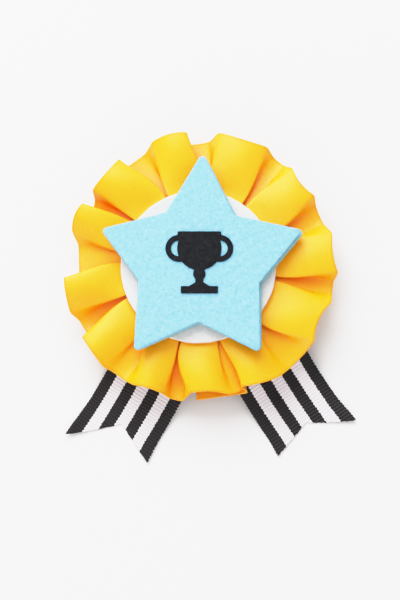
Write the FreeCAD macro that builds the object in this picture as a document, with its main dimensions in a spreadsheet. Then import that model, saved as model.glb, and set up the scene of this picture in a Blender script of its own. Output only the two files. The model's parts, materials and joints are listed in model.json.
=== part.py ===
import FreeCAD, Part
import math
import os
import Sketcher

# Rosette brooch: a gathered satin ribbon ring with a felt disc and a felt star on its front, two
# striped ribbon tails, and a brooch pin sewn to its felt back. It lies on its back, face up.
# Frame: millimetres, +Z out of the rosette's face, +Y towards the star's top point.
# Origin: centre of the footprint on the surface it lies on, which is z = 0.

DIMENSIONS = {
    # Place of the rosette's centre in the frame.
    "rosette_x": -3.2,
    "rosette_y": 7.4,
    # Depth of the pin under the backing, then the thickness of each layer, from back to front.
    "pin_depth": 5.5,
    "backing_thickness": 1.5,
    "tail_thickness": 0.5,
    "card_thickness": 1.5,
    "gathered_thickness": 2.5,
    "felt_thickness": 2.0,
    "emblem_thickness": 0.5,
    # Round layers.
    "backing_radius": 22.5,
    "card_radius": 20.0,
    "disc_radius": 23.8,
    # Star, its place and turn on the disc, and how far its lower layer is out of line with its
    # upper one.
    "star_tip_radius": 33.4,
    "star_inner_radius": 18.7,
    "star_rounding": 1.3,
    "star_x": 0.5,
    "star_y": 0.3,
    "star_turn": -1.0,
    "star_slip_x": 0.7,
    "star_slip_y": -0.2,
    # Emblem's middle from the disc's.
    "emblem_x": 0.3,
    "emblem_y": 0.2,
    # Ruffle: a 25 mm ribbon gathered along its inner edge, its middle a little off the disc's.
    "ruffle_shift_x": 0.8,
    "ruffle_shift_y": 1.2,
    "ruffle_turn": 10.0,
    "ruffle_inner_radius": 16.0,
    "ruffle_flat_radius": 26.5,
    "ruffle_thickness": 0.8,
    "ruffle_gather_wave": 0.8,
    "ridge_radius": 42.0,
    "ridge_height": 13.2,
    "valley_radius": 39.2,
    "valley_height": 7.4,
    "thread_radius": 0.2,
    "gather_radius": 17.5,
    "seam_inner_radius": 19.0,
    "seam_stitch_length": 2.4,
    # Tails: their centre lines meet beside the rosette's centre, and lengths run from there.
    "tail_width": 25.0,
    "tail_meet_x": 3.2,
    "tail_meet_y": -2.2,
    "tail_overlap": 8.0,
    "tail_bend": 24.0,
    "tail_gap": 0.6,
    "tail_slope_run": 26.0,
    "left_direction": 239.1,
    "left_outer_length": 63.3,
    "left_inner_length": 57.4,
    "left_notch_length": 53.0,
    "right_direction": 304.0,
    "right_outer_length": 60.6,
    "right_inner_length": 56.8,
    "right_notch_length": 53.1,
    # Brooch pin. Its own X axis runs along the bar, from the hinge to the catch.
    "pin_y": 8.0,
    "pin_axis_depth": 3.2,
    "bar_length": 28.0,
    "bar_width": 5.0,
    "bar_thickness": 0.8,
    "bar_hole_radius": 1.1,
    "bar_hole_pitch": 6.5,
    "stitch_inset": 0.45,
    "ear_x": -12.5,
    "ear_radius": 2.3,
    "ear_thickness": 0.6,
    "ear_gap": 2.0,
    "rivet_radius": 0.5,
    "rivet_head_radius": 1.0,
    "rivet_head_thickness": 0.35,
    "running_clearance": 0.05,
    "stem_radius": 0.45,
    "eye_radius": 1.3,
    "eye_width": 1.8,
    "neck_radius": 0.7,
    "neck_length": 3.0,
    "stem_straight_end": 11.0,
    "stem_tip_x": 15.0,
    "barrel_start": 10.0,
    "barrel_end": 14.0,
    "barrel_radius": 2.3,
    "barrel_bore": 1.75,
    "sleeve_bore": 1.05,
    "slot_width": 1.4,
    "collar_length": 1.2,
    "collar_radius": 2.15,
    "thumb_tab_reach": 2.9,
    "thumb_tab_width": 1.2,
}

# Layers of the rosette from back to front, each with the cell that holds its thickness.
LAYERS = (
    ("backing_disc", "backing_thickness"),
    ("tail_left", "tail_thickness"),
    ("tail_right", "tail_thickness"),
    ("stiffener_card", "card_thickness"),
    ("ruffle", "gathered_thickness"),
    ("front_disc", "felt_thickness"),
    ("star_lower_layer", "felt_thickness"),
    ("star_upper_layer", "felt_thickness"),
    ("emblem", "emblem_thickness"),
)

PLEAT_COUNT = 12
# Poles in each pleat of the ruffle's edges, and how far they stand past the curve they shape.
POLES_PER_PLEAT = 6
POLE_GAIN = 1.2
STAR_POINTS = 5
BAR_HOLES = 3
SEAM_STITCHES = 5
# The ruffle's ends meet on this pleat, counted from the first.
SEAM_PLEAT = 9

Vec = FreeCAD.Vector
X_AXIS = Vec(1, 0, 0)
Y_AXIS = Vec(0, 1, 0)
Z_AXIS = Vec(0, 0, 1)

doc = FreeCAD.newDocument("AwardRosette")
sheet = doc.addObject("Spreadsheet::Sheet", "Dimensions")
for row, (alias, value) in enumerate(DIMENSIONS.items(), start=1):
    sheet.set("A%d" % row, alias)
    sheet.set("B%d" % row, str(value))
    sheet.setAlias("B%d" % row, alias)
doc.recompute()

subparts = []


def size(alias):
    """Number in a cell of the sheet."""
    return float(sheet.get(alias))


def cell(alias):
    """Expression that reads a cell of the sheet."""
    return "Dimensions." + alias


def bind(obj, **expressions):
    """Bind properties to expressions; two underscores stand for a dot."""
    for name, expression in expressions.items():
        obj.setExpression(name.replace("__", "."), expression)


def keep(obj, label):
    """Keep an object as a sub-part under its own name."""
    obj.Label = label
    subparts.append(obj)
    return obj


def layer_bottom(label):
    """Expression for the height of a layer's lower face."""
    terms = [cell("pin_depth")]
    for name, thickness in LAYERS:
        if name == label:
            return " + ".join(terms)
        terms.append(cell(thickness))
    raise ValueError(label)


def layer_height(label):
    """Height of a layer's lower face as a number."""
    names = [name for name, _ in LAYERS]
    below = LAYERS[: names.index(label)]
    return size("pin_depth") + sum(size(thickness) for _, thickness in below)


def place_on_rosette(obj, z_expression, x_extra="0", y_extra="0"):
    """Put an object at the rosette's centre, at a height, with an optional shift."""
    bind(
        obj,
        Placement__Base__x=cell("rosette_x") + " + " + x_extra,
        Placement__Base__y=cell("rosette_y") + " + " + y_extra,
        Placement__Base__z=z_expression,
    )


def origin_plane(body, role):
    """One of a body's own origin planes."""
    return [f for f in body.Origin.OriginFeatures if f.Role == role][0]


def new_sketch(body, role, name):
    """Empty sketch on one of the body's origin planes."""
    sketch = body.newObject("Sketcher::SketchObject", name)
    sketch.AttachmentSupport = (origin_plane(body, role), [""])
    sketch.MapMode = "FlatFace"
    return sketch


def closed_outline(sketch, points):
    """Straight closed outline through the points, its ends tied together."""
    count = len(points)
    for here, there in zip(points, points[1:] + points[:1]):
        sketch.addGeometry(Part.LineSegment(Vec(*here, 0), Vec(*there, 0)), False)
    for line in range(count):
        sketch.addConstraint(Sketcher.Constraint("Coincident", line, 2, (line + 1) % count, 1))


def fix_point(sketch, line, x_expression, y_expression):
    """Hold the start of a line at bound distances from the sketch's origin."""
    start = sketch.Geometry[line].StartPoint
    for kind, value, expression in (
        ("DistanceX", start.x, x_expression),
        ("DistanceY", start.y, y_expression),
    ):
        number = sketch.addConstraint(Sketcher.Constraint(kind, -1, 1, line, 1, value))
        sketch.setExpression("Constraints[%d]" % number, expression)


def pad(body, sketch, name, length_expression, midplane=False):
    """Pad a sketch by a bound length."""
    feature = body.newObject("PartDesign::Pad", name)
    feature.Profile = sketch
    if midplane:
        feature.SideType = "Symmetric"
    bind(feature, Length=length_expression)
    return feature


# Round layers ---------------------------------------------------------------------------------


def round_layer(label, radius_alias, thickness_alias):
    """Flat disc at its place in the stack of layers."""
    disc = doc.addObject("Part::Cylinder", label)
    bind(disc, Radius=cell(radius_alias), Height=cell(thickness_alias))
    place_on_rosette(disc, layer_bottom(label))
    return keep(disc, label)


# Star -----------------------------------------------------------------------------------------


def star_layer(label, x_extra, y_extra):
    """Felt star: one kite shaped point, repeated round the centre, with rounded tips."""
    body = doc.addObject("PartDesign::Body", label)
    sketch = new_sketch(body, "XY_Plane", label + "_point")
    half_step = math.pi / STAR_POINTS
    inner_x = size("star_inner_radius") * math.sin(half_step)
    inner_y = size("star_inner_radius") * math.cos(half_step)
    tip_y = size("star_tip_radius")
    closed_outline(sketch, [(0, 0), (inner_x, inner_y), (0, tip_y), (-inner_x, inner_y)])
    sine = "sin(180 deg / %d)" % STAR_POINTS
    cosine = "cos(180 deg / %d)" % STAR_POINTS
    inner = cell("star_inner_radius")
    sketch.addConstraint(Sketcher.Constraint("Coincident", 0, 1, -1, 1))
    fix_point(sketch, 1, "%s * %s" % (inner, sine), "%s * %s" % (inner, cosine))
    fix_point(sketch, 2, "0", cell("star_tip_radius"))
    fix_point(sketch, 3, "-%s * %s" % (inner, sine), "%s * %s" % (inner, cosine))
    point = pad(body, sketch, label + "_pad", cell("felt_thickness"))
    doc.recompute()
    pattern = body.newObject("PartDesign::PolarPattern", label + "_points")
    pattern.Originals = [point]
    pattern.Axis = (sketch, ["N_Axis"])
    pattern.Angle = 360
    pattern.Occurrences = STAR_POINTS
    body.Tip = pattern
    doc.recompute()
    tips = []
    for number, edge in enumerate(pattern.Shape.Edges, start=1):
        middle = edge.valueAt((edge.FirstParameter + edge.LastParameter) / 2)
        upright = abs(edge.tangentAt(edge.FirstParameter).z) > 0.99
        if upright and math.hypot(middle.x, middle.y) > 0.99 * tip_y:
            tips.append("Edge%d" % number)
    rounding = body.newObject("PartDesign::Fillet", label + "_tips")
    rounding.Base = (pattern, tips)
    bind(rounding, Radius=cell("star_rounding"))
    body.Tip = rounding
    body.Placement.Rotation = FreeCAD.Rotation(Z_AXIS, size("star_turn"))
    place_on_rosette(body, layer_bottom(label), x_extra, y_extra)
    return keep(body, label)


# Emblem: a plain trophy cup cut from thin flocked felt ----------------------------------------

CUP = {
    "rim_y": 9.6,
    "rim_half": 6.6,
    "lip_y": 7.9,
    "bowl_half": 5.7,
    "bowl_bottom_y": -2.4,
    "stem_half": 1.2,
    "knop_y": -3.6,
    "knop_radius": 1.9,
    "foot_top_y": -6.2,
    "foot_half": 3.2,
    "base_top_y": -7.4,
    "base_half": 5.6,
    "base_y": -9.6,
    "handle_x": 6.1,
    "handle_y": 4.3,
    "handle_outer": 4.2,
    "handle_inner": 2.5,
}


def emblem_layer():
    """Trophy cup: a bowl with a round bottom, two ring handles, a knop, a foot and a base."""
    body = doc.addObject("PartDesign::Body", "emblem")
    thickness = cell("emblem_thickness")

    handles = new_sketch(body, "XY_Plane", "cup_handles")
    for side in (-1, 1):
        centre = Vec(side * CUP["handle_x"], CUP["handle_y"], 0)
        for radius in (CUP["handle_outer"], CUP["handle_inner"]):
            handles.addGeometry(Part.Circle(centre, Z_AXIS, radius), False)

    bowl = new_sketch(body, "XY_Plane", "cup_bowl")
    lip_left = Vec(-CUP["bowl_half"], CUP["lip_y"], 0)
    lip_right = Vec(CUP["bowl_half"], CUP["lip_y"], 0)
    bottom = Vec(0, CUP["bowl_bottom_y"], 0)
    rim = [
        Vec(CUP["rim_half"], CUP["lip_y"], 0),
        Vec(CUP["rim_half"], CUP["rim_y"], 0),
        Vec(-CUP["rim_half"], CUP["rim_y"], 0),
        Vec(-CUP["rim_half"], CUP["lip_y"], 0),
    ]
    bowl.addGeometry(Part.Arc(lip_left, bottom, lip_right), False)
    for here, there in zip([lip_right] + rim, rim + [lip_left]):
        bowl.addGeometry(Part.LineSegment(here, there), False)

    stand = new_sketch(body, "XY_Plane", "cup_stand")
    right = [
        (CUP["stem_half"], CUP["bowl_bottom_y"] + CUP["stem_half"]),
        (CUP["stem_half"], CUP["foot_top_y"]),
        (CUP["foot_half"], CUP["base_top_y"]),
        (CUP["base_half"], CUP["base_top_y"]),
        (CUP["base_half"], CUP["base_y"]),
    ]
    left = [(-x, y) for x, y in reversed(right)]
    closed_outline(stand, right + left)

    knop = new_sketch(body, "XY_Plane", "cup_knop")
    knop.addGeometry(Part.Circle(Vec(0, CUP["knop_y"], 0), Z_AXIS, CUP["knop_radius"]), False)

    doc.recompute()
    for sketch in (bowl, stand, knop, handles):
        body.Tip = pad(body, sketch, sketch.Name + "_pad", thickness)
        doc.recompute()
    place_on_rosette(body, layer_bottom("emblem"), cell("emblem_x"), cell("emblem_y"))
    return keep(body, "emblem")


# Ruffle ---------------------------------------------------------------------------------------


def wavy_loop(radius, radius_wave, height, height_wave):
    """Closed smooth edge round the rosette's axis that rises and falls once in each pleat."""
    count = POLES_PER_PLEAT * PLEAT_COUNT
    poles = []
    for number in range(count):
        angle = 2 * math.pi * number / count + math.radians(size("ruffle_turn"))
        swing = POLE_GAIN * math.cos(2 * math.pi * number / POLES_PER_PLEAT)
        reach = radius + radius_wave * swing
        rise = height + height_wave * swing
        poles.append(Vec(reach * math.cos(angle), reach * math.sin(angle), rise))
    curve = Part.BSplineCurve()
    knots = [float(number) for number in range(count + 1)]
    curve.buildFromPolesMultsKnots(poles, [1] * len(knots), knots, True, 3)
    return curve.toShape()


def ruffle_ring():
    """Ribbon gathered into a closed ring: flat under the disc, in deep pleats at its rim."""
    half = size("ruffle_thickness") / 2
    gathered = layer_height("ruffle") + size("gathered_thickness") / 2
    gather_wave = size("ruffle_gather_wave")
    rim = (size("ridge_radius") + size("valley_radius")) / 2
    rim_wave = (size("ridge_radius") - size("valley_radius")) / 2
    rim_height = (size("ridge_height") + size("valley_height")) / 2
    rim_height_wave = (size("ridge_height") - size("valley_height")) / 2
    across = [
        (size("ruffle_inner_radius"), 0, gathered, gather_wave),
        (size("ruffle_flat_radius"), 0, gathered, gather_wave),
        (rim, rim_wave, rim_height, rim_height_wave),
    ]
    under = [wavy_loop(r, r_wave, z - half, z_wave) for r, r_wave, z, z_wave in across]
    over = [wavy_loop(r, r_wave, z + half, z_wave) for r, r_wave, z, z_wave in reversed(across)]
    loops = under + over
    faces = [Part.makeRuledSurface(a, b) for a, b in zip(loops, loops[1:] + loops[:1])]
    solid = Part.makeSolid(Part.makeShell(faces))
    if solid.Volume < 0:
        solid.reverse()
    ring = doc.addObject("Part::Feature", "ruffle")
    ring.Shape = solid
    place_on_rosette(ring, "0", cell("ruffle_shift_x"), cell("ruffle_shift_y"))
    return keep(ring, "ruffle")


def gathering_thread():
    """Running stitch that draws up the ruffle's inner edge."""
    ring = doc.addObject("Part::Torus", "gathering_thread")
    bind(ring, Radius1=cell("gather_radius"), Radius2=cell("thread_radius"))
    middle = layer_bottom("ruffle") + " + Dimensions.gathered_thickness / 2"
    place_on_rosette(ring, middle, cell("ruffle_shift_x"), cell("ruffle_shift_y"))
    return keep(ring, "gathering_thread")


def seam_stitches():
    """Short bars of thread under the joint between the ruffle's two ends, on top of a pleat."""
    ray = 2 * math.pi * SEAM_PLEAT / PLEAT_COUNT + math.radians(size("ruffle_turn"))
    outward = Vec(math.cos(ray), math.sin(ray), 0)
    along = Vec(-math.sin(ray), math.cos(ray), 0)
    middle = layer_height("ruffle") + size("gathered_thickness") / 2
    height = middle + size("ruffle_gather_wave") - size("ruffle_thickness") / 2
    first = size("seam_inner_radius")
    pitch = (size("disc_radius") - first) / SEAM_STITCHES
    length = size("seam_stitch_length")
    stitches = []
    for number in range(SEAM_STITCHES):
        start = outward * (first + number * pitch) - along * (length / 2) + Z_AXIS * height
        stitches.append(Part.makeCylinder(size("thread_radius"), length, start, along))
    seam = doc.addObject("Part::Feature", "ruffle_seam_stitches")
    seam.Shape = Part.makeCompound(stitches)
    place_on_rosette(seam, "0", cell("ruffle_shift_x"), cell("ruffle_shift_y"))
    return keep(seam, "ruffle_seam_stitches")


# Tails ----------------------------------------------------------------------------------------


def tail_point(side, distance):
    """Expressions for the point on a tail's centre line, from the rosette's centre."""
    direction = "Dimensions.%s_direction * 1 deg" % side
    x = "Dimensions.tail_meet_x + (%s) * cos(%s)" % (distance, direction)
    y = "Dimensions.tail_meet_y + (%s) * sin(%s)" % (distance, direction)
    return x, y


def tail_root(side):
    """Flat end of a tail, held between the card and the backing."""
    label = "tail_%s_root" % side
    strip = doc.addObject("Part::Box", label)
    length = "Dimensions.tail_overlap + Dimensions.tail_bend - Dimensions.tail_gap / 2"
    bind(strip, Length=length, Width=cell("tail_width"), Height=cell("tail_thickness"))
    strip.Placement.Rotation = FreeCAD.Rotation(Z_AXIS, size(side + "_direction"))
    turn = math.radians(size(side + "_direction"))
    x, y = tail_point(side, "-Dimensions.tail_overlap")
    x += " + Dimensions.tail_width / 2 * %.9f" % math.sin(turn)
    y += " - Dimensions.tail_width / 2 * %.9f" % math.cos(turn)
    place_on_rosette(strip, layer_bottom("tail_" + side), x, y)
    return keep(strip, label)


def tail_face(drop, shift):
    """One face of a free tail in side view: an arc down, its mirror image, and a level end.

    The ribbon starts level at the height shift, sinks by drop along the slope's run, and lies level
    again. Returns the three points of each arc.
    """
    start = size("tail_gap") / 2
    run = size("tail_slope_run")
    slope = 2 * math.atan2(drop, run)
    radius = run / (2 * math.sin(slope))
    first, second = [], []
    for turn in (0, slope / 2, slope):
        across, rise = math.sin(turn), math.cos(turn)
        crest = radius + shift
        trough = radius - shift
        first.append(Vec(start + crest * across, crest * rise - radius, 0))
        second.append(Vec(start + run - trough * across, radius - drop - trough * rise, 0))
    return first, second[::-1]


# Length of the waste past the longer tip that the V cut takes off, in millimetres.
WASTE_BEYOND_CUT = 5


def free_tail(side):
    """Free length of a tail, from its bend to its V cut end."""
    label = "tail_" + side
    body = doc.addObject("PartDesign::Body", label)
    drop = layer_height(label)
    thickness = size("tail_thickness")
    bend = size("tail_bend")
    end = max(size(side + "_outer_length"), size(side + "_inner_length")) - bend
    low_first, low_second = tail_face(drop, 0)
    high_first, high_second = tail_face(drop, thickness)
    low_end, high_end = Vec(end, -drop, 0), Vec(end, thickness - drop, 0)
    profile = new_sketch(body, "XZ_Plane", label + "_profile")
    for edge in (
        Part.Arc(*low_first),
        Part.Arc(*low_second),
        Part.LineSegment(low_second[-1], low_end),
        Part.LineSegment(low_end, high_end),
        Part.LineSegment(high_end, high_second[-1]),
        Part.Arc(*reversed(high_second)),
        Part.Arc(*reversed(high_first)),
        Part.LineSegment(high_first[0], low_first[0]),
    ):
        profile.addGeometry(edge, False)
    strip = pad(body, profile, label + "_strip", cell("tail_width"), midplane=True)
    doc.recompute()

    outer_side = -1 if side == "left" else 1
    cut = new_sketch(body, "XY_Plane", label + "_v_cut")
    corners = [
        ("outer_length", 0, outer_side),
        ("notch_length", 0, 0),
        ("inner_length", 0, -outer_side),
        ("outer_length", WASTE_BEYOND_CUT, -outer_side),
        ("outer_length", WASTE_BEYOND_CUT, outer_side),
    ]
    half = size("tail_width") / 2
    outline = [(size(side + "_" + name) - bend + extra, way * half) for name, extra, way in corners]
    closed_outline(cut, outline)
    for line, (name, extra, way) in enumerate(corners):
        along = "Dimensions.%s_%s - Dimensions.tail_bend + %g" % (side, name, extra)
        fix_point(cut, line, along, "%d * Dimensions.tail_width / 2" % way)
    before = strip.Shape.Volume
    pocket = body.newObject("PartDesign::Pocket", label + "_v_cut_pocket")
    pocket.Profile = cut
    pocket.Type = "ThroughAll"
    pocket.Midplane = True
    body.Tip = pocket
    doc.recompute()
    if pocket.Shape.Volume > 0.99 * before:
        raise RuntimeError(label + ": the V cut removed nothing")

    body.Placement.Rotation = FreeCAD.Rotation(Z_AXIS, size(side + "_direction"))
    x, y = tail_point(side, cell("tail_bend"))
    place_on_rosette(body, layer_bottom(label), x, y)
    return keep(body, label)


# Brooch pin -----------------------------------------------------------------------------------
# Each piece is built with the bar's top face at z = 0 and the bar's middle at x = 0.


PIN_AXIS = "-Dimensions.pin_axis_depth"
BELOW_BARREL = PIN_AXIS + " - 2 * Dimensions.barrel_radius"
BARREL_LENGTH = "Dimensions.barrel_end - Dimensions.barrel_start"


def place_on_pin(obj):
    """Put a pin piece under the backing."""
    place_on_rosette(obj, cell("pin_depth"), y_extra=cell("pin_y"))


def move_to(obj, x="0", y="0", z="0"):
    """Bind an object's position."""
    bind(obj, Placement__Base__x=x, Placement__Base__y=y, Placement__Base__z=z)
    return obj


def rod_along_pin(label, radius, length, start):
    """Cylinder on the pin's axis, along X."""
    rod = doc.addObject("Part::Cylinder", label)
    rod.Placement.Rotation = FreeCAD.Rotation(Y_AXIS, 90)
    bind(rod, Radius=radius, Height=length)
    return move_to(rod, x=start, z=PIN_AXIS)


def rod_across_hinge(label, radius, width, start):
    """Cylinder on the hinge's axis, along Y."""
    rod = doc.addObject("Part::Cylinder", label)
    rod.Placement.Rotation = FreeCAD.Rotation(X_AXIS, -90)
    bind(rod, Radius=radius, Height=width)
    return move_to(rod, x=cell("ear_x"), y=start, z=PIN_AXIS)


def block(label, length, width, height):
    """Box with bound sizes."""
    box = doc.addObject("Part::Box", label)
    bind(box, Length=length, Width=width, Height=height)
    return box


def fused(label, pieces):
    """Union of several pieces."""
    union = doc.addObject("Part::MultiFuse", label)
    union.Shapes = pieces
    union.Refine = True
    return union


def cut_away(label, base, tools):
    """Base with the tools removed."""
    rest = doc.addObject("Part::Cut", label)
    rest.Base = base
    rest.Tool = tools[0] if len(tools) == 1 else fused(label + "_tools", tools)
    rest.Refine = True
    return rest


def ear(name, start):
    """Hinge ear: a round lug on the pin's axis with a web up to the bar."""
    thickness = cell("ear_thickness")
    lug = rod_across_hinge(name + "_lug", cell("ear_radius"), thickness, start)
    web = block(name + "_web", "2 * Dimensions.ear_radius", thickness, cell("pin_axis_depth"))
    move_to(web, "Dimensions.ear_x - Dimensions.ear_radius", start, PIN_AXIS)
    return [lug, web]


def sewing_hole(number):
    """Tool for one of the holes that the bar is sewn on through."""
    hole = doc.addObject("Part::Cylinder", "sewing_hole_%d" % number)
    bind(hole, Radius=cell("bar_hole_radius"), Height="2 * Dimensions.bar_thickness")
    place = number - BAR_HOLES // 2
    return move_to(hole, "%d * Dimensions.bar_hole_pitch" % place, z="-1.5 * Dimensions.bar_thickness")


def open_slot(label, length, start):
    """Tool for a slot that opens straight down from the pin's axis."""
    slot = block(label, length, cell("slot_width"), "2 * Dimensions.barrel_radius")
    return move_to(slot, start, "-Dimensions.slot_width / 2", BELOW_BARREL)


def pin_bar():
    """Bar with sewing holes, two hinge ears at one end and the slotted catch barrel at the other."""
    plate = block("bar_plate", cell("bar_length"), cell("bar_width"), cell("bar_thickness"))
    half_length, half_width = "-Dimensions.bar_length / 2", "-Dimensions.bar_width / 2"
    move_to(plate, half_length, half_width, "-Dimensions.bar_thickness")
    near_ear = ear("near_ear", "-Dimensions.ear_gap / 2 - Dimensions.ear_thickness")
    far_ear = ear("far_ear", "Dimensions.ear_gap / 2")
    barrel = rod_along_pin("barrel_tube", cell("barrel_radius"), BARREL_LENGTH, cell("barrel_start"))
    saddle = block("barrel_saddle", BARREL_LENGTH, "2 * Dimensions.barrel_bore", cell("pin_axis_depth"))
    move_to(saddle, cell("barrel_start"), "-Dimensions.barrel_bore", PIN_AXIS)
    solid = fused("pin_bar_solid", [plate, barrel, saddle] + near_ear + far_ear)

    before = "Dimensions.barrel_start - 1"
    through = BARREL_LENGTH + " + 2"
    ears_width = "Dimensions.ear_gap + 2 * Dimensions.ear_thickness + 1"
    tools = [sewing_hole(number) for number in range(BAR_HOLES)]
    tools.append(rod_along_pin("barrel_bore_tool", cell("barrel_bore"), through, before))
    tools.append(open_slot("barrel_slot", through, before))
    tools.append(
        rod_across_hinge("rivet_hole", cell("rivet_radius"), ears_width, "-(%s) / 2" % ears_width)
    )
    bar = cut_away("pin_bar", solid, tools)
    place_on_pin(bar)
    return keep(bar, "pin_bar")


def hinge_rivet():
    """Rivet through both ears, with a low head outside each."""
    span = "(Dimensions.ear_gap + 2 * Dimensions.ear_thickness)"
    head = cell("rivet_head_thickness")
    head_radius = cell("rivet_head_radius")
    shank = rod_across_hinge("rivet_shank", cell("rivet_radius"), span, "-%s / 2" % span)
    near_head = rod_across_hinge("rivet_near_head", head_radius, head, "-%s / 2 - %s" % (span, head))
    far_head = rod_across_hinge("rivet_far_head", head_radius, head, "%s / 2" % span)
    rivet = fused("hinge_rivet", [shank, near_head, far_head])
    place_on_pin(rivet)
    return keep(rivet, "hinge_rivet")


def pin_stem():
    """Wire with an eye on the rivet, a short neck, a straight length and a sharp point."""
    root = cell("ear_x")
    straight = "Dimensions.stem_straight_end - Dimensions.ear_x"
    eye_start = "-Dimensions.eye_width / 2"
    eye = rod_across_hinge("stem_eye", cell("eye_radius"), cell("eye_width"), eye_start)
    neck = rod_along_pin("stem_neck", cell("neck_radius"), cell("neck_length"), root)
    wire = rod_along_pin("stem_wire", cell("stem_radius"), straight, root)
    point = doc.addObject("Part::Cone", "stem_point")
    point.Placement.Rotation = FreeCAD.Rotation(Y_AXIS, 90)
    bind(point, Radius1=cell("stem_radius"), Radius2="Dimensions.stem_radius / 9")
    bind(point, Height="Dimensions.stem_tip_x - Dimensions.stem_straight_end")
    move_to(point, cell("stem_straight_end"), z=PIN_AXIS)
    solid = fused("stem_solid", [eye, neck, wire, point])
    hole_radius = "Dimensions.rivet_radius + Dimensions.running_clearance"
    hole = rod_across_hinge("eye_hole", hole_radius, "Dimensions.eye_width + 2", eye_start + " - 1")
    stem = cut_away("pin_stem", solid, [hole])
    place_on_pin(stem)
    return keep(stem, "pin_stem")


def catch_sleeve():
    """Slotted sleeve that turns in the barrel, held by a collar at each end, with a thumb tab."""
    gap = "2 * Dimensions.running_clearance"
    collar = cell("collar_length")
    collar_radius = cell("collar_radius")
    start = "Dimensions.barrel_start - %s - %s" % (gap, collar)
    far_start = "Dimensions.barrel_end + " + gap
    length = "%s + 2 * (%s) + 2 * %s" % (BARREL_LENGTH, gap, collar)
    tube_radius = "Dimensions.barrel_bore - Dimensions.running_clearance"
    tube = rod_along_pin("sleeve_tube", tube_radius, length, start)
    near_collar = rod_along_pin("sleeve_near_collar", collar_radius, collar, start)
    far_collar = rod_along_pin("sleeve_far_collar", collar_radius, collar, far_start)
    tab = block("sleeve_tab", collar, cell("thumb_tab_reach"), cell("thumb_tab_width"))
    move_to(tab, far_start, z=PIN_AXIS + " - Dimensions.thumb_tab_width / 2")
    solid = fused("sleeve_solid", [tube, near_collar, far_collar, tab])
    before = start + " - 1"
    through = length + " + 2"
    bore = rod_along_pin("sleeve_bore_tool", cell("sleeve_bore"), through, before)
    sleeve = cut_away("catch_sleeve", solid, [bore, open_slot("sleeve_slot", through, before)])
    place_on_pin(sleeve)
    return keep(sleeve, "catch_sleeve")


def quarter_bend(centre, start, end):
    """Quarter circle about a centre, from one end to the other."""
    middle = (start - centre) + (end - centre)
    return Part.Arc(start, centre + middle * math.sqrt(0.5), end).toShape()


def thread_staple(x, side):
    """Thread out of a sewing hole, under the bar's edge and back up into the felt."""
    radius = size("thread_radius")
    bend = radius + size("running_clearance")
    hole_y = side * size("stitch_inset")
    edge_y = side * (size("bar_width") / 2 + bend)
    corner_z = -size("bar_thickness")
    inner_centre = Vec(x, hole_y + side * bend, corner_z)
    outer_centre = Vec(x, edge_y - side * bend, corner_z)
    down = Z_AXIS * -bend
    inner_side, outer_side = Y_AXIS * (-side * bend), Y_AXIS * (side * bend)
    path = Part.Wire(
        [
            Part.makeLine(Vec(x, hole_y, 0), inner_centre + inner_side),
            quarter_bend(inner_centre, inner_centre + inner_side, inner_centre + down),
            Part.makeLine(inner_centre + down, outer_centre + down),
            quarter_bend(outer_centre, outer_centre + down, outer_centre + outer_side),
            Part.makeLine(outer_centre + outer_side, Vec(x, edge_y, 0)),
        ]
    )
    section = Part.Wire([Part.makeCircle(radius, Vec(x, hole_y, 0), Z_AXIS)])
    return path.makePipeShell([section], True, False)


def bar_stitches():
    """Thread that sews the bar to the backing, two staples from each hole."""
    staples = []
    for number in range(BAR_HOLES):
        x = (number - BAR_HOLES // 2) * size("bar_hole_pitch")
        for side in (-1, 1):
            staples.append(thread_staple(x, side))
    thread = doc.addObject("Part::Feature", "bar_stitches")
    thread.Shape = Part.makeCompound(staples)
    place_on_pin(thread)
    return keep(thread, "bar_stitches")


# Assembly -------------------------------------------------------------------------------------

round_layer("backing_disc", "backing_radius", "backing_thickness")
round_layer("stiffener_card", "card_radius", "card_thickness")
round_layer("front_disc", "disc_radius", "felt_thickness")
STAR_X, STAR_Y = cell("star_x"), cell("star_y")
SLIPPED_X, SLIPPED_Y = STAR_X + " + Dimensions.star_slip_x", STAR_Y + " + Dimensions.star_slip_y"
star_layer("star_lower_layer", SLIPPED_X, SLIPPED_Y)
star_layer("star_upper_layer", STAR_X, STAR_Y)
emblem_layer()
ruffle_ring()
gathering_thread()
seam_stitches()
for tail_side in ("left", "right"):
    tail_root(tail_side)
    free_tail(tail_side)
pin_bar()
hinge_rivet()
pin_stem()
catch_sleeve()
bar_stitches()
doc.recompute()

for obj in doc.Objects:
    if "Invalid" in obj.State or "Error" in obj.State:
        raise RuntimeError("%s failed: %s" % (obj.Label, obj.State))
for obj in subparts:
    if obj.Shape.isNull() or not obj.Shape.isValid():
        raise RuntimeError(obj.Label + " has no valid shape")

os.makedirs("parts", exist_ok=True)
for obj in subparts:
    obj.Shape.exportStep("parts/%s.step" % obj.Label)
    print("%-22s %9.1f mm3" % (obj.Label, obj.Shape.Volume))
whole = Part.makeCompound([obj.Shape for obj in subparts]).BoundBox
print("box x %.2f..%.2f  y %.2f..%.2f  z %.2f..%.2f" % (
    whole.XMin, whole.XMax, whole.YMin, whole.YMax, whole.ZMin, whole.ZMax))
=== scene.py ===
import json
import math

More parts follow.
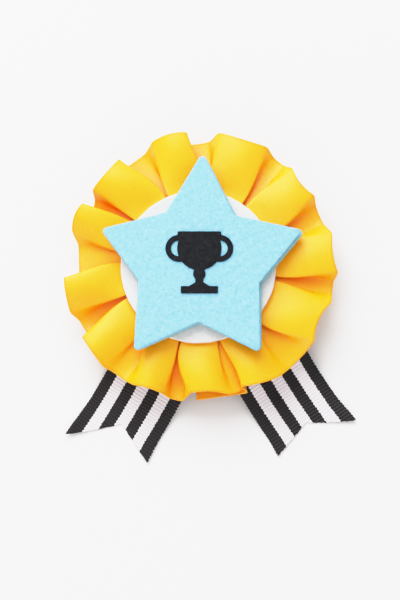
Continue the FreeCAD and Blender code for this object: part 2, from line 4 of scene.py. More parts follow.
import bpy
import numpy as np
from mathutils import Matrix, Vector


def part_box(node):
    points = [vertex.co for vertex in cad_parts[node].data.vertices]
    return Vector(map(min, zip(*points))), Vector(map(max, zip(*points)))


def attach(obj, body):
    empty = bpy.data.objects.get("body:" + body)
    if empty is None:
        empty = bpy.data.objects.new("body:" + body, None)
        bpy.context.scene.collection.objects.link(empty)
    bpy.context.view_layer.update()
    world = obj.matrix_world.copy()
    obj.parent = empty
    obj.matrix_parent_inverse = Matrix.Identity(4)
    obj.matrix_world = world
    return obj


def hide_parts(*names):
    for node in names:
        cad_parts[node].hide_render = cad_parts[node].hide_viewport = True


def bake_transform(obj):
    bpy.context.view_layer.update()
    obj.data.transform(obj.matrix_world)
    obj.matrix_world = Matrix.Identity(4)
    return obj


# Award rosette brooch, lying on its back. The CAD frame holds the metal pin, the layers and the
# joints; this script makes the satin ruffle, the grosgrain tails, the felt and thread pieces, and
# every material. Blender works in metres. Shapes below are worked out in millimetres and turned
# into metres by MM.

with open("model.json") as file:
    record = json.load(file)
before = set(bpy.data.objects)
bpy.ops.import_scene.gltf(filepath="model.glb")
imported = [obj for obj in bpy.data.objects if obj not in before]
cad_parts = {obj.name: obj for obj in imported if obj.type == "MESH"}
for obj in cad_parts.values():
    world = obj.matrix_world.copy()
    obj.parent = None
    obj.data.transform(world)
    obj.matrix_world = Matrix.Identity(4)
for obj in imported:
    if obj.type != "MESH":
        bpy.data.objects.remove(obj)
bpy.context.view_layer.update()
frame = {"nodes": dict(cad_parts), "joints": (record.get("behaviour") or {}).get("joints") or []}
MM = 0.001
RNG = np.random.default_rng(7)


def node_box(name):
    """A node's lowest and highest corners, in millimetres."""
    low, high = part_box(name)
    return np.array(low) / MM, np.array(high) / MM


def node_middle(name):
    """Centre of a node's box, in millimetres."""
    low, high = node_box(name)
    return (low + high) / 2


def node_radius(name):
    """Half a round node's width, in millimetres."""
    low, high = node_box(name)
    return (high - low)[0] / 2


ROSETTE = node_middle("front_disc")
RUFFLE_CENTRE = node_middle("ruffle")
CARD_TOP = node_box("stiffener_card")[1][2]
DISC_BOTTOM = node_box("front_disc")[0][2]


# Mesh helpers ---------------------------------------------------------------------------------

# Sine waves drawn for each wavelength of an unevenness.
WAVES_PER_LENGTH = 3
# No thread here runs this way, so it gives each path a direction to its side.
ASKEW = (0.31, 0.17, 0.93)
PLIES = 3
PLY_SIDES = 6
# In shares of the thread's radius: a step along a ply, a ply's radius and its place off the axis.
PLY_STEP = 0.7
PLY_RADIUS = 0.52
PLY_OFFSET = 0.5
# Length of one turn of the plies, in millimetres.
THREAD_TWIST = 0.9


def smoothstep(x):
    """Smooth rise from 0 to 1."""
    x = np.clip(x, 0.0, 1.0)
    return x * x * (3 - 2 * x)


def polar(angle, radius):
    """Plane point or points from angles in degrees and radii."""
    turn = np.radians(angle)
    return np.stack([radius * np.cos(turn), radius * np.sin(turn)], axis=-1)


def blur(values, sigma, axis):
    """Gaussian blur along one axis that keeps the ends where they are."""
    reach = int(math.ceil(3 * sigma))
    offsets = np.arange(-reach, reach + 1)
    weights = np.exp(-0.5 * (offsets / sigma) ** 2)
    weights /= weights.sum()
    values = np.moveaxis(values, axis, 0)
    head = 2 * values[:1] - values[reach:0:-1]
    foot = 2 * values[-1:] - values[-2 : -reach - 2 : -1]
    longer = np.concatenate([head, values, foot])
    count = values.shape[0]
    result = sum(weight * longer[k : k + count] for k, weight in enumerate(weights))
    return np.moveaxis(result, 0, axis)


def waves(points, lengths, amplitude):
    """Smooth random unevenness at given wavelengths, the same on every run."""
    points = np.asarray(points, dtype=float)
    total = np.zeros(points.shape[:-1])
    for length in lengths:
        for _ in range(WAVES_PER_LENGTH):
            way = RNG.normal(size=points.shape[-1])
            way *= 2 * math.pi / length / np.linalg.norm(way)
            total += np.sin(points @ way + RNG.uniform(0, 2 * math.pi))
    return amplitude * total / (WAVES_PER_LENGTH * len(lengths)) ** 0.5


def new_object(name, vertices, faces, material, uv=None):
    """Smooth shaded mesh object from arrays in millimetres, with an optional UV per vertex."""
    mesh = bpy.data.meshes.new(name)
    corners = [list(map(int, face)) for face in faces]
    mesh.from_pydata((np.asarray(vertices) * MM).tolist(), [], corners)
    mesh.update()
    mesh.polygons.foreach_set("use_smooth", [True] * len(mesh.polygons))
    if uv is not None:
        layer = mesh.uv_layers.new(name="cloth")
        used = np.zeros(len(mesh.loops), dtype=np.int32)
        mesh.loops.foreach_get("vertex_index", used)
        layer.data.foreach_set("uv", np.asarray(uv, dtype=np.float32)[used].ravel())
    mesh.materials.append(material)
    obj = bpy.data.objects.new(name, mesh)
    bpy.context.scene.collection.objects.link(obj)
    return obj


def cloth_sheet(name, middle, thickness, uv, material):
    """Thin closed sheet round a grid of points, rows by columns by 3."""
    rows, columns = middle.shape[:2]
    normal = np.cross(np.gradient(middle, axis=0), np.gradient(middle, axis=1))
    normal /= np.maximum(np.linalg.norm(normal, axis=2, keepdims=True), 1e-12)
    upper = middle + normal * thickness / 2
    lower = middle - normal * thickness / 2
    vertices = np.concatenate([upper.reshape(-1, 3), lower.reshape(-1, 3)])
    flat = uv.reshape(-1, 2)
    half = rows * columns
    index = np.arange(half).reshape(rows, columns)
    a, b = index[:-1, :-1].ravel(), index[:-1, 1:].ravel()
    c, d = index[1:, 1:].ravel(), index[1:, :-1].ravel()
    top = np.stack([a, d, c, b], axis=1)
    bottom = np.stack([a, b, c, d], axis=1) + half
    rim = np.concatenate([index[0, :], index[1:, -1], index[-1, -2::-1], index[-2:0:-1, 0]])
    after = np.roll(rim, -1)
    walls = np.stack([rim, after, after + half, rim + half], axis=1)
    faces = np.concatenate([top, bottom, walls])
    return new_object(name, vertices, faces, material, np.concatenate([flat, flat]))


def unit(vectors):
    """Vectors scaled to length one."""
    return vectors / np.maximum(np.linalg.norm(vectors, axis=-1, keepdims=True), 1e-9)


def tube(path, radius, closed):
    """Vertices and faces of a round tube along an array of points."""
    count, sides = len(path), PLY_SIDES
    if closed:
        tangent = np.roll(path, -1, axis=0) - np.roll(path, 1, axis=0)
    else:
        tangent = np.gradient(path, axis=0)
    side, other = across_path(tangent)
    turn = (np.arange(sides) * 2 * math.pi / sides)[None, :, None]
    ring = side[:, None] * np.cos(turn) + other[:, None] * np.sin(turn)
    vertices = (path[:, None] + ring * radius).reshape(-1, 3)
    faces = []
    for k in range(count if closed else count - 1):
        here, there = k * sides, (k + 1) % count * sides
        for j in range(sides):
            following = (j + 1) % sides
            faces.append((here + j, here + following, there + following, there + j))
    if not closed:
        faces.append(tuple(range(sides))[::-1])
        faces.append(tuple((count - 1) * sides + j for j in range(sides)))
    return vertices, faces


def across_path(tangent):
    """Two directions at right angles to a path and to each other."""
    tangent = unit(tangent)
    side = unit(np.cross(tangent, ASKEW))
    return side, np.cross(tangent, side)


def joined(pieces):
    """One list of vertices and faces from several."""
    vertices, faces, start = [], [], 0
    for some_vertices, some_faces in pieces:
        vertices.append(some_vertices)
        faces += [tuple(start + v for v in face) for face in some_faces]
        start += len(some_vertices)
    return np.concatenate(vertices), faces


def resampled(path, step):
    """Points at even distances along a polyline."""
    path = np.asarray(path, dtype=float)
    run = np.concatenate([[0], np.cumsum(np.linalg.norm(np.diff(path, axis=0), axis=1))])
    count = max(4, int(round(run[-1] / step)))
    places = np.linspace(0, run[-1], count + 1)
    return np.stack([np.interp(places, run, path[:, k]) for k in range(3)], axis=1)


def twisted_thread(path, radius, closed=False):
    """Plies twisted round a path: vertices and faces."""
    path = resampled(path, radius * PLY_STEP)
    if closed:
        path = path[:-1]
    run = np.arange(len(path)) * radius * PLY_STEP
    side, other = across_path(np.gradient(path, axis=0))
    twist = THREAD_TWIST
    if closed:
        twist = run[-1] / max(1, round(run[-1] / THREAD_TWIST))
    plies = []
    for ply in range(PLIES):
        turn = (2 * math.pi * (run / twist + ply / PLIES))[:, None]
        offset = side * np.cos(turn) + other * np.sin(turn)
        plies.append(tube(path + offset * radius * PLY_OFFSET, radius * PLY_RADIUS, closed))
    return joined(plies)


# Material helpers -----------------------------------------------------------------------------

# Painted shade in the satin's folds: rays that look for folds over a place, and the share that is
# taken off what they find before shade is painted.
PAINTED_SHADE_SAMPLES = 6
PAINTED_SHADE_START = 0.12
# Widths of the woven lines in the flat cloth, in millimetres.
SATIN_WARP_PITCH = 0.52
PICOT_PITCH = 0.8
PICOT_BAND = (24.5, 0.3)
GROSGRAIN_WARP_PITCH = 0.42


class Shader:
    """A material's node tree, with a short call for each kind of node used here."""

    def __init__(self, name):
        self.material = bpy.data.materials.new(name)
        self.material.use_nodes = True
        self.tree = self.material.node_tree
        self.tree.nodes.clear()
        output = self.tree.nodes.new("ShaderNodeOutputMaterial")
        self.surface = self.tree.nodes.new("ShaderNodeBsdfPrincipled")
        self.tree.links.new(self.surface.outputs[0], output.inputs["Surface"])
        self.coords = self.tree.nodes.new("ShaderNodeTexCoord")

    def feed(self, value, socket):
        """Set a socket from a number, a colour or another node's output."""
        if isinstance(value, bpy.types.NodeSocket):
            self.tree.links.new(value, socket)
        elif isinstance(value, tuple) and len(socket.default_value) == 4:
            socket.default_value = (*value, 1)
        else:
            socket.default_value = value

    def set(self, **values):
        """Set the shader's own sockets by name, with _ for a space."""
        for name, value in values.items():
            self.feed(value, self.surface.inputs[name.replace("_", " ")])

    def math(self, operation, first, second=0.0, third=None, clamp=False):
        """One step of arithmetic."""
        node = self.tree.nodes.new("ShaderNodeMath")
        node.operation = operation
        node.use_clamp = clamp
        self.feed(first, node.inputs[0])
        self.feed(second, node.inputs[1])
        if third is not None:
            self.feed(third, node.inputs[2])
        return node.outputs[0]

    def place(self, stretch=(1, 1, 1), source="Object", turn=0.0):
        """Coordinates, stretched and turned about Z."""
        node = self.tree.nodes.new("ShaderNodeMapping")
        node.inputs["Scale"].default_value = stretch
        node.inputs["Rotation"].default_value = (0, 0, turn)
        self.tree.links.new(self.coords.outputs[source], node.inputs["Vector"])
        return node.outputs[0]

    def noise(self, scale, detail, roughness, distortion=0.0, place=None):
        """Fractal noise between 0 and 1."""
        node = self.tree.nodes.new("ShaderNodeTexNoise")
        node.inputs["Scale"].default_value = scale
        node.inputs["Detail"].default_value = detail
        node.inputs["Roughness"].default_value = roughness
        node.inputs["Distortion"].default_value = distortion
        self.tree.links.new(place or self.coords.outputs["Object"], node.inputs["Vector"])
        return node.outputs["Fac"]

    def ramp(self, value, *stops):
        """Colour ramp with (place, colour) stops."""
        node = self.tree.nodes.new("ShaderNodeValToRGB")
        self.feed(value, node.inputs[0])
        elements = node.color_ramp.elements
        while len(elements) < len(stops):
            elements.new(0.5)
        for element, (place, colour) in zip(elements, stops):
            element.position = place
            element.color = (*colour, 1)
        return node.outputs[0]

    def mix(self, factor, first, second):
        """Colour between two others."""
        node = self.tree.nodes.new("ShaderNodeMix")
        node.data_type = "RGBA"
        self.feed(factor, node.inputs[0])
        self.feed(first, node.inputs[6])
        self.feed(second, node.inputs[7])
        return node.outputs[2]

    def sine(self, value, pitch):
        """Sine of a length, once in each pitch."""
        return self.math("SINE", self.math("MULTIPLY", value, 2 * math.pi / pitch))

    def bump(self, height, depth, strength=1.0):
        """Bump whose height runs over a depth in millimetres."""
        node = self.tree.nodes.new("ShaderNodeBump")
        node.inputs["Strength"].default_value = strength
        node.inputs["Distance"].default_value = depth * MM
        self.tree.links.new(height, node.inputs["Height"])
        self.tree.links.new(node.outputs[0], self.surface.inputs["Normal"])

    def painted_fold_shade(self, reach, gain):
        """Share of painted shade at a place: how closely the piece's own folds stand over it,
        within a reach in millimetres.
        """
        node = self.tree.nodes.new("ShaderNodeAmbientOcclusion")
        node.samples = PAINTED_SHADE_SAMPLES
        node.only_local = True
        node.inputs["Distance"].default_value = reach * MM
        closed_share = self.math("SUBTRACT", 1.0, node.outputs["AO"])
        return self.math("MULTIPLY_ADD", closed_share, gain, -PAINTED_SHADE_START, clamp=True)

    def cloth_place(self):
        """Distances along and across the flat cloth, in millimetres."""
        node = self.tree.nodes.new("ShaderNodeSeparateXYZ")
        self.tree.links.new(self.coords.outputs["UV"], node.inputs[0])
        return node.outputs[0], node.outputs[1]


def satin_material():
    """Yellow double faced satin: fine warp lines along the ribbon, picots along its edge, and
    painted deep orange shade in its folds.
    """
    shader = Shader("satin")
    along, across = shader.cloth_place()
    warp = shader.sine(across, SATIN_WARP_PITCH)
    floats = shader.noise(1.0, 3, 0.6, place=shader.place((0.25, 2.4, 1), "UV"))
    weave = shader.math("ADD", shader.math("MULTIPLY", warp, 0.3), floats)
    colour = shader.ramp(weave, (0.3, (0.95, 0.385, 0.001)), (0.8, (0.995, 0.455, 0.002)))
    rim = shader.math("COMPARE", across, *PICOT_BAND)
    picots = shader.math("GREATER_THAN", shader.sine(along, PICOT_PITCH), 0.1)
    dotted = shader.math("MULTIPLY", shader.math("MULTIPLY", rim, picots), 0.6)
    colour = shader.mix(dotted, colour, (0.66, 0.24, 0.0))
    # Painted shade: the colour turns deep orange where the satin's own folds close over it.
    colour = shader.mix(shader.painted_fold_shade(6.0, 1.05), colour, (0.80, 0.17, 0.0))
    shader.set(Base_Color=colour, Roughness=0.4, Specular_IOR_Level=0.42, Anisotropic=0.4)
    shader.set(Subsurface_Weight=0.5, Subsurface_Scale=0.7 * MM)
    shader.set(Subsurface_Radius=(1.0, 0.45, 0.04))
    shader.bump(weave, 0.05, 0.6)
    return shader.material


def felt_material(name, dark, light, fuzz):
    """Pressed felt: matted fibres in two directions, small clumps and a faint sheen."""
    shader = Shader(name)
    long_fibres = shader.noise(1.0, 3, 0.65, 1.6, shader.place((620, 2200, 900)))
    cross_fibres = shader.noise(1.0, 3, 0.65, 1.6, shader.place((2200, 620, 900), turn=0.6))
    fibres = shader.math("ADD", long_fibres, cross_fibres)
    clumps = shader.math("MULTIPLY", shader.noise(900, 2, 0.6), 0.3)
    matted = shader.math("ADD", shader.math("MULTIPLY", fibres, 0.35), clumps)
    colour = shader.ramp(matted, (0.38, dark), (0.62, light))
    shader.set(Base_Color=colour, Roughness=0.95, Specular_IOR_Level=0.15)
    shader.set(Sheen_Weight=fuzz, Sheen_Roughness=0.6, Sheen_Tint=light)
    shader.bump(matted, 0.5, 0.9)
    return shader.material


def grosgrain_material():
    """Ribbed ribbon: black and white stripes with edges that step in and out at each rib."""
    shader = Shader("grosgrain")
    along, across = shader.cloth_place()
    ribs = shader.sine(along, RIB_PITCH)
    uneven = shader.noise(1.0, 2, 0.5, place=shader.place((1.1, 1.1, 1), "UV"))
    uneven = shader.math("MULTIPLY", shader.math("SUBTRACT", uneven, 0.5), 0.55)
    stepped = shader.math("MULTIPLY", ribs, 0.10)
    shifted = shader.math("ADD", shader.math("ADD", across, stepped), uneven)
    stripe = TAIL_WIDTH / STRIPES
    wave = shader.sine(shifted, 2 * stripe)
    white = shader.math("MULTIPLY_ADD", wave, -12.0, 0.5, clamp=True)
    warp = shader.sine(across, GROSGRAIN_WARP_PITCH)
    weave = shader.math("ADD", ribs, shader.math("MULTIPLY", warp, 0.25))
    # Painted shade on the ribs: the yarn colours are darker where the rib pattern is low and
    # lighter where it is high.
    shade = shader.math("MULTIPLY_ADD", weave, 0.4, 0.5, clamp=True)
    black_yarn = shader.mix(shade, (0.004, 0.003, 0.004), (0.020, 0.017, 0.019))
    white_yarn = shader.mix(shade, (0.60, 0.57, 0.61), (0.78, 0.74, 0.79))
    shader.set(Base_Color=shader.mix(white, black_yarn, white_yarn), Roughness=0.55)
    shader.set(Specular_IOR_Level=0.35, Sheen_Weight=0.05, Sheen_Roughness=0.4)
    shader.bump(weave, 0.09, 0.8)
    return shader.material


def thread_material(name, colour):
    """Spun thread: fibres along each ply."""
    shader = Shader(name)
    fibres = shader.noise(6000, 2, 0.6)
    dark = tuple(channel * 0.82 for channel in colour)
    shader.set(Base_Color=shader.ramp(fibres, (0.3, dark), (0.7, colour)), Roughness=0.7)
    shader.set(Sheen_Weight=0.2, Sheen_Roughness=0.5)
    shader.bump(fibres, 0.03, 0.5)
    return shader.material


def steel_material():
    """Nickel plated steel with fine drawn lines and slight wear."""
    shader = Shader("plated_steel")
    drawn = shader.noise(1.0, 4, 0.6, place=shader.place((300, 6000, 6000)))
    patches = shader.noise(400, 3, 0.6)
    colour = shader.ramp(patches, (0.3, (0.62, 0.60, 0.57)), (0.7, (0.76, 0.75, 0.73)))
    rough = shader.math("MULTIPLY_ADD", drawn, 0.22, 0.16)
    shader.set(Base_Color=colour, Metallic=1.0, Roughness=rough)
    shader.bump(drawn, 0.012, 0.6)
    return shader.material


def card_material():
    """Light brown stiffener card with short paper fibres."""
    shader = Shader("card")
    fibres = shader.noise(2200, 3, 0.7, 1.2)
    colour = shader.ramp(fibres, (0.3, (0.60, 0.53, 0.42)), (0.7, (0.76, 0.70, 0.58)))
    shader.set(Base_Color=colour, Roughness=0.9, Specular_IOR_Level=0.2)
    shader.bump(fibres, 0.04, 0.6)
    return shader.material


def paper_material():
    """Smooth pale studio paper."""
    shader = Shader("studio_paper")
    grain = shader.noise(900, 2, 0.5)
    colour = shader.ramp(grain, (0.3, (0.795, 0.795, 0.808)), (0.7, (0.805, 0.805, 0.818)))
    shader.set(Base_Color=colour, Roughness=0.9, Specular_IOR_Level=0.1)
    return shader.material


# Ruffle ---------------------------------------------------------------------------------------
# The ribbon makes twelve flat panels joined by floor strips. At the disc's edge the panels meet
# side by side and the strips are folded flat beneath them, as in box pleats; towards the rim the
# pleats open. A place at the rim is (angle, radius, height): degrees and millimetres about the
# ruffle's centre, and millimetres above the surface that the rosette lies on; a fourth number is a
# sideways bow of the fold, in degrees. Each row is one panel and the floor after it: the panel's
# start, middle and end at the rim, the angles of its start and end at the disc's edge, and the
# floor's two corners at the rim.

PANELS = [
    (((287.5, 40.0, 12.6, 1.6), (296.0, 41.4, 12.8), (304.5, 42.3, 12.0)), (283.0, 309.5),
     ((311.0, 42.0, 9.0), (319.0, 42.0, 9.6))),
    (((325.0, 42.2, 12.6), (333.5, 40.0, 12.4), (343.0, 41.8, 12.6)), (313.0, 347.0),
     ((348.0, 41.4, 8.8), (353.0, 41.2, 9.2))),
    (((356.0, 42.2, 12.6), (363.5, 40.6, 12.6), (373.2, 41.6, 13.4)), (349.5, 377.0),
     ((380.0, 40.4, 8.6), (387.5, 40.5, 9.2))),
    (((391.5, 41.2, 13.0), (399.0, 39.8, 12.6), (406.8, 41.6, 13.4)), (382.0, 412.5),
     ((411.0, 41.2, 9.6), (416.5, 41.5, 9.6))),
    (((421.0, 42.6, 12.4), (431.0, 41.3, 13.0), (442.4, 42.3, 13.2)), (415.3, 445.0),
     ((446.0, 40.2, 8.6), (457.0, 39.6, 7.6))),
    (((456.0, 41.5, 14.6), (463.0, 41.9, 13.8), (471.0, 42.0, 12.6)), (448.0, 476.0),
     ((475.5, 40.4, 8.2), (487.5, 40.0, 7.0))),
    (((487.5, 41.8, 13.0), (496.0, 40.8, 13.6), (505.0, 41.1, 13.0)), (477.0, 506.5),
     ((507.5, 39.2, 8.8), (514.5, 38.0, 7.6))),
    (((513.0, 40.9, 14.8), (519.0, 41.7, 13.4), (525.0, 41.4, 11.0)), (508.0, 532.0),
     ((529.5, 38.8, 7.8), (547.5, 38.0, 8.0))),
    (((546.5, 42.1, 14.6), (552.5, 42.4, 13.6), (560.5, 42.9, 11.2)), (539.0, 563.5),
     ((564.0, 41.2, 7.6), (570.5, 40.8, 7.4))),
    (((572.5, 42.8, 13.0), (579.5, 43.1, 13.2), (587.0, 43.7, 12.0)), (565.0, 591.0),
     ((591.0, 42.7, 9.6), (597.0, 42.7, 9.4))),
    (((601.5, 42.8, 12.2), (607.5, 41.9, 12.8), (613.2, 41.8, 12.4, 1.6)), (593.5, 614.5),
     ((617.0, 42.2, 7.6), (622.0, 42.4, 7.4))),
    (((625.7, 40.2, 12.4, -3.0), (633.7, 39.8, 12.8), (641.5, 41.2, 12.2, -0.5)), (615.5, 642.0),
     ((644.5, 41.3, 10.7), (650.0, 40.5, 10.5))),
]
# The ribbon's first end lies flat under the last panel and turns back into the first one.
UNDER_END = ((268.0, 41.8, 7.6), (290.0, 42.2, 8.3))
RIBBON_WIDTH = 25.0
RIBBON_THICKNESS = 0.3
GATHER_RADIUS = 17.6
DISC_EDGE_RADIUS = 24.6
# The grid: its rows across the ribbon, and the distance between its columns at the rim.
RIBBON_ROWS = 54
SAMPLE_STEP = 0.42
# Room between the ribbon and the disc above it or the card below it.
LAYER_GAP = 0.1
# Near the disc a floor strip starts a little under its own panel and ends well under the next.
ROLL_UNDER = 3.0
TUCK_UNDER = 11.0
# How far a panel is lifted at its start, middle and end: at the rim, and halfway to the disc.
CROWNING = (-0.5, 0.6, -1.0)
ARCHING = (0.1, 0.6, -0.3)
FLOOR_DROP = 1.2
# Part of a fold's turn that runs evenly from disc to rim, and part of its climb that starts and
# ends softly.
EVEN_SWING = 0.45
SOFT_CLIMB = 0.6
# Blur of the folds, in columns, at these places across the ribbon. Flat directions are blurred
# less than heights, and so are the CRISP_REACH columns on each side of a panel's crisp start. The
# blur at a place is made by mixing grids blurred by BLUR_LEVELS.
FOLD_ROUNDING_PLACES = (0.0, 7.0, 12.0, 25.0)
FOLD_ROUNDING = (1.2, 1.6, 2.9, 4.2)
BLUR_LEVELS = (0.8, 2.0, 3.5, 5.5)
FLAT_SHARE = 0.3
CRISP_SHARE = 0.3
CRISP_REACH = 4.0


def fold_line(rim, inner_angle, inner_height, arch=0.0):
    """Points of one fold from the gathered edge to the rim."""
    across = np.linspace(0.0, RIBBON_WIDTH, RIBBON_ROWS)
    hidden = DISC_EDGE_RADIUS - GATHER_RADIUS
    opening = np.clip((across - hidden) / (RIBBON_WIDTH - hidden), 0.0, 1.0)
    under = np.clip(1 - across / hidden, 0.0, 1.0)
    swing = EVEN_SWING * opening + (1 - EVEN_SWING) * smoothstep(opening)
    bow = rim[3] if len(rim) > 3 else 0.0
    angle = inner_angle + (rim[0] - inner_angle) * swing + bow * np.sin(math.pi * opening)
    xy = polar(angle, DISC_EDGE_RADIUS + (rim[1] - DISC_EDGE_RADIUS) * opening)
    xy = xy * (1 - under[:, None] * (1 - GATHER_RADIUS / DISC_EDGE_RADIUS))
    climb = SOFT_CLIMB * smoothstep(opening) + (1 - SOFT_CLIMB) * (1 - (1 - opening) ** 2)
    z = inner_height + (rim[2] - inner_height) * climb + arch * np.sin(math.pi * opening)
    return np.column_stack([xy, z])


def through(first, second, third, share):
    """Curve through three points, with the second at its middle."""
    before = 2 * (share - 0.5) * (share - 1)
    middle = -4 * share * (share - 1)
    after = 2 * share * (share - 0.5)
    return first * before + second * middle + third * after


def fold_lines():
    """Every fold of the ribbon in order, each as its kind and its points."""
    top = DISC_BOTTOM - RIBBON_THICKNESS / 2 - LAYER_GAP
    low = CARD_TOP + RIBBON_THICKNESS / 2 + LAYER_GAP
    middle = (top + low) / 2
    lines = [("floor", fold_line(rim, rim[0], low)) for rim in UNDER_END]
    for rims, (start, end), floor in PANELS:
        inner_angles = (start, (start + end) / 2, end)
        panel = zip(("start", "middle", "end"), rims, inner_angles, CROWNING, ARCHING)
        for kind, (angle, radius, height, *bow), inner_angle, lift, arch in panel:
            rim = (angle, radius, height + lift, *bow)
            lines.append((kind, fold_line(rim, inner_angle, top, arch)))
        near, far = [(angle, radius, height - FLOOR_DROP) for angle, radius, height in floor]
        lines.append(("floor", fold_line(near, end - ROLL_UNDER, middle)))
        # The last floor lies over the ribbon's first end.
        bottom = middle if rims is PANELS[-1][0] else low
        lines.append(("floor", fold_line(far, end + TUCK_UNDER, bottom)))
    return lines


def ruffle_grid():
    """Middle surface of the ruffle, rows across the ribbon by columns along it."""
    lines = fold_lines()
    columns, crisp = [], []
    for number, ((kind, here), (_, there)) in enumerate(zip(lines, lines[1:])):
        count = max(3, int(round(np.linalg.norm(there[-1] - here[-1]) / SAMPLE_STEP)))
        if kind == "start":
            crisp.append(len(columns))
        for share in np.arange(count) / count:
            if kind == "start":
                columns.append(through(here, there, lines[number + 2][1], share / 2))
            elif kind == "middle":
                columns.append(through(lines[number - 1][1], here, there, 0.5 + share / 2))
            else:
                columns.append(here + (there - here) * share)
    columns.append(lines[-1][1])
    grid = softened(blur(np.stack(columns, axis=1), 1.0, 0), crisp)
    grid[:, :, :2] += RUFFLE_CENTRE[:2]
    return grid


def softened(grid, crisp):
    """Folds rounded along the ribbon: tight at the disc and at the panels' crisp first edges."""
    rows, columns = grid.shape[:2]
    place = np.arange(columns)
    gap = np.abs(place[:, None] - np.array(crisp)[None, :]).min(axis=1)
    near_crisp = np.exp(-((gap / CRISP_REACH) ** 2))
    across = np.linspace(0.0, RIBBON_WIDTH, rows)
    round_row = np.interp(across, FOLD_ROUNDING_PLACES, FOLD_ROUNDING)
    sigma = round_row[:, None] * (1 - (1 - CRISP_SHARE) * near_crisp[None, :])
    sigma = sigma[..., None] * np.array([FLAT_SHARE, FLAT_SHARE, 1.0])
    total = np.zeros_like(grid)
    for number, level in enumerate(BLUR_LEVELS):
        share = np.interp(sigma, BLUR_LEVELS, np.eye(len(BLUR_LEVELS))[number])
        total += share * blur(grid, level, 1)
    return blur(total, 1.0, 1)


def make_ruffle():
    """Satin ruffle with its UV map in millimetres of flat ribbon."""
    grid = ruffle_grid()
    rim = grid[-1]
    run = np.concatenate([[0], np.cumsum(np.linalg.norm(np.diff(rim, axis=0), axis=1))])
    across = np.linspace(0, RIBBON_WIDTH, grid.shape[0])
    uv = np.stack(np.broadcast_arrays(run[None, :], across[:, None]), axis=2)
    ruffle = cloth_sheet("satin_ruffle", grid, RIBBON_THICKNESS, uv, satin_material())
    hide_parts("ruffle")
    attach(ruffle, "rosette")


# Tails ----------------------------------------------------------------------------------------
# Lengths run along a tail's centre line, from the point beside the rosette's centre where the two
# centre lines meet. The bend, where a tail leaves the backing, is a joint of the frame, and the
# cloth sinks to the table over SLOPE_RUN just past it.

TAIL_WIDTH = 25.0
TAIL_THICKNESS = 0.45
TAIL_BEND = 24.0
TAIL_START = -8.0
TAIL_GAP = 0.3
# Run of the slope by which a tail sinks from the backing to the table.
SLOPE_RUN = 26.0
STRIPES = 7
RIB_PITCH = 1.0
RIB_HEIGHT = 0.07
# The grid: columns across, the step along, and the rows of the last END_RUN before the notch.
TAIL_COLUMNS = 57
TAIL_STEP = 0.25
END_RUN = 6
END_ROWS = 60
# Lengths to the outer tip, the V's notch and the inner tip, and how far each tip curls up.
TAIL_ENDS = {"left": (64.0, 52.2, 58.4), "right": (61.7, 53.6, 57.2)}
TIP_LIFT = {"left": (0.9, 0.5), "right": (0.8, 0.4)}
# Growth of half the tail's width towards its tips, and depth of the scallops along its edges.
FLARE = 0.8
SCALLOP = 0.06
SCALLOP_BAND = 0.3
# Height at which the cloth rests on the table.
REST_GAP = 0.16


def tail_drop(distance, drop):
    """How far a tail has sunk at a distance: level, down along two equal arcs, and level again."""
    slope = 2 * math.atan2(drop, SLOPE_RUN)
    radius = SLOPE_RUN / (2 * math.sin(slope))
    past = distance - TAIL_BEND - TAIL_GAP
    first = np.clip(past, 0, SLOPE_RUN / 2)
    second = np.clip(SLOPE_RUN - past, 0, SLOPE_RUN / 2)
    sunk_first = radius - np.sqrt(radius**2 - first**2)
    left_second = radius - np.sqrt(radius**2 - second**2)
    return np.where(past < SLOPE_RUN / 2, sunk_first, drop - left_second)


def make_tail(side, material):
    """One grosgrain tail from its root under the card to its V cut end."""
    name = "tail_" + side
    joint = [j for j in frame["joints"] if j["name"] == name + "_swing"][0]
    bend = np.array(joint["pos_m"]) / MM
    axis = np.array(joint["axis"])
    forward = np.array([axis[1], -axis[0]])
    sideways = np.array([-forward[1], forward[0]])
    outward = -1 if side == "left" else 1
    root_bottom = node_box(name + "_root")[0][2]
    drop = root_bottom - node_box(name)[0][2]

    half = TAIL_WIDTH / 2
    across = np.linspace(-1, 1, TAIL_COLUMNS) * half
    outer_end, notch, inner_end = TAIL_ENDS[side]
    reach = np.abs(across) / half
    tip = np.where(across * outward > 0, outer_end, inner_end)
    ends = notch + (tip - notch) * reach
    ends = ends + waves(across[:, None], (1.3, 2.9), 0.12)
    even_end = notch - END_RUN
    even = np.arange(TAIL_START, even_end, TAIL_STEP)
    share = np.linspace(0, 1, END_ROWS)[:, None]
    along = np.concatenate([
        np.repeat(even[:, None], TAIL_COLUMNS, axis=1),
        even_end + (ends[None, :] - even_end) * share,
    ])
    wide = np.broadcast_to(across, along.shape)
    near_end = smoothstep((along - notch + 3) / (outer_end - notch + 3))
    edge = (np.abs(wide) / half) ** 2
    flare = 1 + FLARE / half * near_end * edge
    rib = np.cos(2 * math.pi * along / RIB_PITCH)
    scallop = SCALLOP * rib * (np.abs(wide) > half - SCALLOP_BAND)
    spread = wide * flare + np.sign(wide) * scallop
    outer_lift, inner_lift = TIP_LIFT[side]
    lift = np.where(wide * outward > 0, outer_lift, inner_lift) * near_end * edge
    sway = waves(np.stack([along, wide], axis=-1), (17.0, 30.0), 0.12)
    settled = smoothstep((along - TAIL_BEND) / 12)
    z = root_bottom + TAIL_THICKNESS / 2 - tail_drop(along, drop)
    z = z + lift + (REST_GAP + sway) * settled + RIB_HEIGHT / 2 * rib
    xy = bend[:2] + (along - TAIL_BEND)[..., None] * forward + spread[..., None] * sideways
    grid = np.concatenate([xy, z[..., None]], axis=-1)
    uv = np.stack([along, wide + half], axis=-1)
    tail = cloth_sheet(name + "_ribbon", grid, TAIL_THICKNESS - RIB_HEIGHT, uv, material)
    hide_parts(name, name + "_root")
    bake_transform(tail)


# Felt -----------------------------------------------------------------------------------------

FELT_ROUNDING = 0.45
